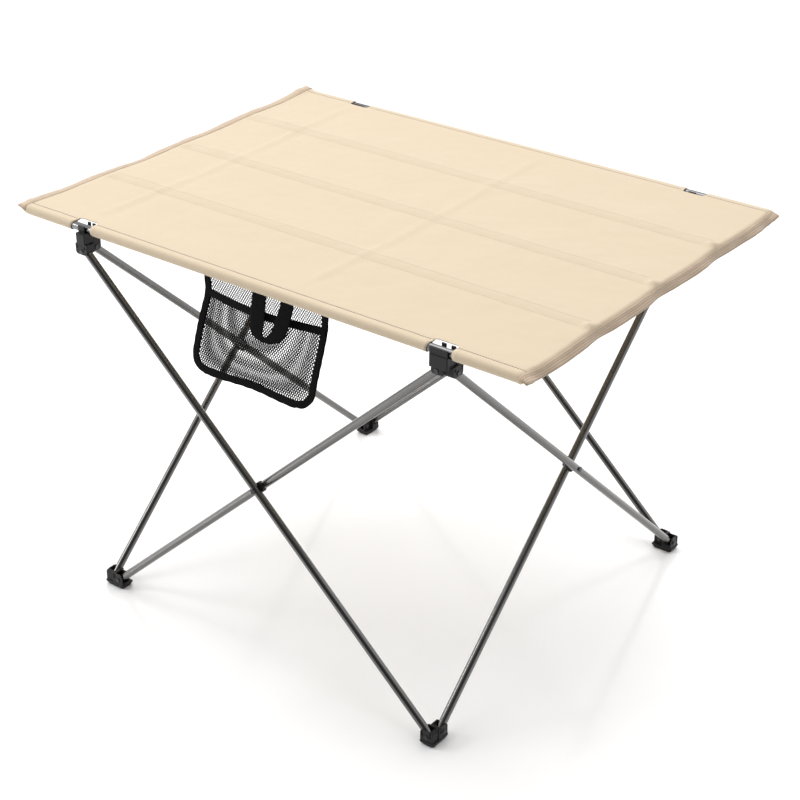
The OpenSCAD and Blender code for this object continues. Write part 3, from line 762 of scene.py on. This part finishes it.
def bag_point(a, d, out):
    """a from -1 to 1 across the bag, d down from its hanging line, out from its back net."""
    left, right = bag_sides(d)
    x = left + (right - left) * (a + 1) / 2
    angle = np.interp(d, BAG_STEPS, BAG_ANGLES)
    y = BAG_Y - np.interp(d, BAG_STEPS, BAG_PATH_Y)
    z = BAG_TOP - 0.4 * MM - np.interp(d, BAG_STEPS, BAG_PATH_Z)
    ripple = 0.8 * MM * np.sin(x * 55 + d * 30) * smooth((d - 10 * MM) / (30 * MM))
    out = out + ripple
    return np.stack([x + 0 * d, y - out * np.cos(angle), z + out * np.sin(angle)], -1)


def pocket_depth(a, d):
    """How far the pocket's front stands off its back."""
    t = np.clip((d - FLAP) / (POCKET - BINDING), 0, 1)
    across = np.cos(np.clip(a * BAG_HALF / NET_HALF, -1, 1) * np.pi / 2)
    return 0.5 * MM + BULGE * across * np.cos(t * np.pi / 2) ** 0.9


def make_net(name, d0, d1, standing, radius, pitch=2.8 * MM, slope=math.radians(56)):
    """Net of crossed yarns between the binding tapes."""
    reach = NET_HALF + 1.5 * MM
    points, faces = [], []
    for turn in (-1, 1):
        direction = np.array([math.cos(slope), turn * math.sin(slope)])
        normal = np.array([-direction[1], direction[0]])
        corners = [np.array((x, d)) for x in (-reach, reach) for d in (d0, d1)]
        offsets = [float(c @ normal) for c in corners]
        for index in range(math.ceil(min(offsets) / pitch), math.floor(max(offsets) / pitch) + 1):
            ends = clipped(index * pitch * normal, direction, reach, d0, d1)
            if ends is None:
                continue
            start, stop = ends
            length = float(np.linalg.norm(stop - start))
            count = max(2, int(length / (5 * MM)) + 1)
            flat = start + (stop - start) * np.linspace(0, 1, count)[:, None]
            zig = radius * (1 if turn > 0 else -1)
            a = flat[:, 0] / BAG_HALF
            d = flat[:, 1]
            out = (pocket_depth(a, d) if standing else 0 * d) + zig
            line = bag_point(a, d, out)
            first = len(points)
            side = bag_point(a + normal[0] * 0.3 * MM / BAG_HALF, d + normal[1] * 0.3 * MM, out) - line
            side /= np.linalg.norm(side, axis=1, keepdims=True)
            up = bag_point(a, d, out + MM) - line
            up /= np.linalg.norm(up, axis=1, keepdims=True)
            for p, across, lift in zip(line, side, up):
                points += [p + across * radius, p - across * radius * 0.5 + lift * radius * 0.87,
                           p - across * radius * 0.5 - lift * radius * 0.87]
            for i in range(count - 1):
                for k in range(3):
                    n = (k + 1) % 3
                    b = first + 3 * i
                    faces.append((b + k, b + n, b + 3 + n, b + 3 + k))
            faces.append((first, first + 2, first + 1))
            last = first + 3 * (count - 1)
            faces.append((last, last + 1, last + 2))
    return mesh_object(name, points, faces, NET)


def clipped(origin, direction, reach, d0, d1):
    """The ends of a line inside the net's rectangle, or None."""
    low, high = -10.0, 10.0
    for axis, (a, b) in enumerate(((-reach, reach), (d0, d1))):
        if abs(direction[axis]) < 1e-9:
            continue
        t = sorted(((a - origin[axis]) / direction[axis], (b - origin[axis]) / direction[axis]))
        low, high = max(low, t[0]), min(high, t[1])
    if high - low < 2 * MM:
        return None
    return origin + low * direction, origin + high * direction


def band_object(name, centre, across, normal, half_width, thickness, material, cut_scale=1.0,
                closed_ends=True):
    """A flat strap: a rounded band round a centreline, given the width direction and the face's normal."""
    profile = [(-1, 0.0), (-0.93, 0.8), (-0.8, 1.0), (-0.4, 1.0), (0, 1.0), (0.4, 1.0), (0.8, 1.0),
               (0.93, 0.8)]
    profile += [(-side, -level) for side, level in profile]
    count = len(centre)
    steps = np.concatenate([[0], np.cumsum(np.linalg.norm(np.diff(centre, axis=0), axis=1))])
    half_width = np.broadcast_to(half_width, (count,))
    points, cuts = [], []
    for u, w in profile:
        points.append(centre + across * (u * half_width)[:, None] + normal * (w * thickness / 2))
        cuts.append(np.stack([u * half_width * cut_scale, steps, 0 * steps], -1))
    rows = len(profile)
    faces = grid_faces(rows, count, closed=True)
    if closed_ends:
        faces.append(tuple(r * count for r in range(rows)))
        faces.append(tuple(r * count + count - 1 for r in reversed(range(rows))))
    made = mesh_object(name, np.concatenate(points), faces, material)
    store_cut(made, np.concatenate(cuts))
    return made


def make_bag_binding():
    """Tape round the sides and the rounded bottom of the bag."""
    inner = BINDING / 2
    route = []
    for d in np.linspace(1 * MM, DROP - BAG_CORNER, 60):
        route.append((-(BAG_HALF - inner), d, -1.0, 0.0))
    for turn in np.linspace(0, math.pi / 2, 14)[1:]:
        r = BAG_CORNER - inner
        route.append((-(BAG_HALF - BAG_CORNER) - r * math.cos(turn), DROP - BAG_CORNER + r * math.sin(turn),
                      -math.cos(turn), math.sin(turn)))
    for x in np.linspace(-(BAG_HALF - BAG_CORNER), BAG_HALF - BAG_CORNER, 60)[1:-1]:
        sag = 1.2 * MM * math.sin((x / BAG_HALF + 1) * math.pi * 1.5)
        route.append((x, DROP - inner + sag, 0.0, 1.0))
    for turn in np.linspace(math.pi / 2, 0, 14)[:-1]:
        r = BAG_CORNER - inner
        route.append(((BAG_HALF - BAG_CORNER) + r * math.cos(turn), DROP - BAG_CORNER + r * math.sin(turn),
                      math.cos(turn), math.sin(turn)))
    for d in np.linspace(DROP - BAG_CORNER, 1 * MM, 60):
        route.append((BAG_HALF - inner, d, 1.0, 0.0))
    route = np.array(route)
    x, d, side_x, side_d = route.T
    a = x / BAG_HALF
    centre = bag_point(a, d, 0.4 * MM + 0 * d)
    step = 0.2 * MM
    across = bag_point(a + side_x * step / BAG_HALF, d + side_d * step, 0.4 * MM + 0 * d) - centre
    across /= np.linalg.norm(across, axis=1, keepdims=True)
    normal = bag_point(a, d, 1.4 * MM + 0 * d) - centre
    normal /= np.linalg.norm(normal, axis=1, keepdims=True)
    width = inner * (1 + 0.05 * np.sin(np.arange(len(d)) * 0.9))
    return band_object("bag_binding", centre, across, normal, width, 2.6 * MM, BAG_TAPE)


def make_mouth_band():
    """Band folded over the top of the pocket's front net."""
    a = np.linspace(-0.985, 0.985, 70)
    d = np.full_like(a, FLAP + BAND / 2 - 1.0 * MM) + 1.6 * MM * np.cos(a * math.pi / 2)
    out = pocket_depth(a, d) + 0.5 * MM
    centre = bag_point(a, d, out)
    across = bag_point(a, d + 0.5 * MM, out) - centre
    across /= np.linalg.norm(across, axis=1, keepdims=True)
    normal = bag_point(a, d, out + MM) - centre
    normal /= np.linalg.norm(normal, axis=1, keepdims=True)
    return band_object("bag_mouth_tape", centre, across, normal, BAND / 2, 1.8 * MM, BAG_TAPE)


def eased(stops, count):
    """A smooth line through the stops, by Catmull and Rom's rule."""
    stops = np.array(stops, float)
    padded = np.concatenate([2 * stops[:1] - stops[1:2], stops, 2 * stops[-1:] - stops[-2:-1]])
    t = np.linspace(0, len(stops) - 1 - 1e-6, count)
    k = t.astype(int)
    f = (t - k)[:, None]
    a, b, c, d = (padded[k + i] for i in range(4))
    second = 2 * a - 5 * b + 4 * c - d
    third = 3 * b - a - 3 * c + d
    return 0.5 * (2 * b + (c - a) * f + second * f ** 2 + third * f ** 3)


# Outer and inner edge of the webbing, right and down from its middle line in millimetres: the right leg
# slants inward and the gap closes to a point at the lower left
LOOP_EDGES = ((-28.6, 0.5, -8.6, 0.5), (-28.6, 16, -8.2, 16), (-29.2, 34, -8.0, 31), (-29.4, 50, -8.6, 46),
              (-27.6, 61.5, -9.9, 56.5), (-19.8, 68, -10.0, 61.2), (-8, 70, -8.3, 63.2),
              (3.5, 68.6, -5.5, 63.6), (15.6, 63, -1.6, 59.4), (24.6, 50, 3.4, 51), (29, 33, 7.4, 38),
              (31.6, 18, 12.2, 21), (32.6, 0.5, 15, 0.5))


def make_loop():
    """Webbing that hangs as a loop, its two legs sewn in at the top."""
    lean = math.radians(8.5)
    length = 70 * MM
    middle_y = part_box("webbing_loop")[1].y - 0.8 * MM
    outer_x, outer_d, inner_x, inner_d = eased(LOOP_EDGES, 72).T * MM

    def place(x, d):
        curve = 0.5 * MM * np.sin(np.clip(d / length, 0, 1) * math.pi)
        y = middle_y - d * math.sin(lean) - curve + 0.2 * MM * np.sin(x * 90)
        return np.stack([LOOP_X + x, y, LOOP_TOP - d * math.cos(lean)], -1)

    outer, inner = place(outer_x, outer_d), place(inner_x, inner_d)
    across = inner - outer
    width = np.linalg.norm(across, axis=1)
    across /= width[:, None]
    normal = np.tile(np.array([0, -math.cos(lean), math.sin(lean)]), (len(width), 1))
    return band_object("webbing_hanger", (outer + inner) / 2, across, normal, width / 2, 1.6 * MM, WEBBING)


back_net = make_net("bag_back_net", 1 * MM, DROP - BINDING + 1.5 * MM, False, 0.50 * MM)
front_net = make_net("bag_front_net", FLAP + 2 * MM, DROP - BINDING + 1.5 * MM, True, 0.41 * MM)
binding = make_bag_binding()
mouth_tape = make_mouth_band()
hanger = make_loop()
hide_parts("bag_back_mesh")
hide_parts("bag_front_mesh")
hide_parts("bag_edge_tape")
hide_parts("bag_mouth_band")
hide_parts("webbing_loop")
bag_slots = ((back_net, "bag_mesh"), (front_net, "bag_mesh"), (binding, "bag_tape"), (mouth_tape, "bag_tape"))
for piece, slot_name in bag_slots:
    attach(piece, "bag")
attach(hanger, "loop")

# ---------------------------------------------------------------- floor, light and camera

FLOOR_HALF = 14
floor_corners = [(-FLOOR_HALF, -FLOOR_HALF, 0), (FLOOR_HALF, -FLOOR_HALF, 0),
                 (FLOOR_HALF, FLOOR_HALF, 0), (-FLOOR_HALF, FLOOR_HALF, 0)]
floor = mesh_object("floor", floor_corners, [(0, 1, 2, 3)], FLOOR, False)


def make_world():
    """Even studio light, darker from the side of the camera, as behind it there is no screen."""
    world = bpy.data.worlds.new("studio")
    bpy.context.scene.world = world
    world.use_nodes = True
    tree = world.node_tree
    background = tree.nodes["Background"]
    where = tree.nodes.new("ShaderNodeTexCoord")
    toward = tree.nodes.new("ShaderNodeVectorMath")
    toward.operation = "DOT_PRODUCT"
    toward.inputs[1].default_value = Vector((0.55, -0.76, 0.30)).normalized()
    tree.links.new(where.outputs["Generated"], toward.inputs[0])
    ramp = tree.nodes.new("ShaderNodeValToRGB")
    ramp.color_ramp.elements[0].position = 0.35
    ramp.color_ramp.elements[0].color = (1, 1, 1, 1)
    ramp.color_ramp.elements[1].position = 0.86
    ramp.color_ramp.elements[1].color = (0.10, 0.10, 0.105, 1)
    tree.links.new(toward.outputs["Value"], ramp.inputs[0])
    tree.links.new(ramp.outputs[0], background.inputs["Color"])
    background.inputs["Strength"].default_value = 1.35


def area_light(name, place, target, size, power):
    data = bpy.data.lights.new(name, "AREA")
    data.shape = "RECTANGLE"
    data.size, data.size_y = size
    data.energy = power
    made = bpy.data.objects.new(name, data)
    bpy.context.scene.collection.objects.link(made)
    made.location = place
    made.rotation_euler = (Vector(target) - Vector(place)).to_track_quat("-Z", "Y").to_euler()


make_world()
area_light("overhead_softbox", (-0.5, 0.5, 2.9), (0, 0, 0.4), (2.6, 2.0), 52)
area_light("side_strip", (-2.15, -1.65, 1.2), (0, 0, 0.3), (0.45, 1.6), 26)

camera_data = bpy.data.cameras.new("camera")
camera_data.sensor_width = 36
camera_data.lens = 81.54
camera_data.shift_x = 0.0044
camera_data.shift_y = 0.0086
camera = bpy.data.objects.new("camera", camera_data)
bpy.context.scene.collection.objects.link(camera)
camera.location = (1.23925, -1.61476, 1.36405)
camera.rotation_euler = (Vector((0, 0, 0.2427)) - camera.location).to_track_quat("-Z", "Y").to_euler()
bpy.context.scene.camera = camera
bpy.context.scene.view_settings.view_transform = "Standard"
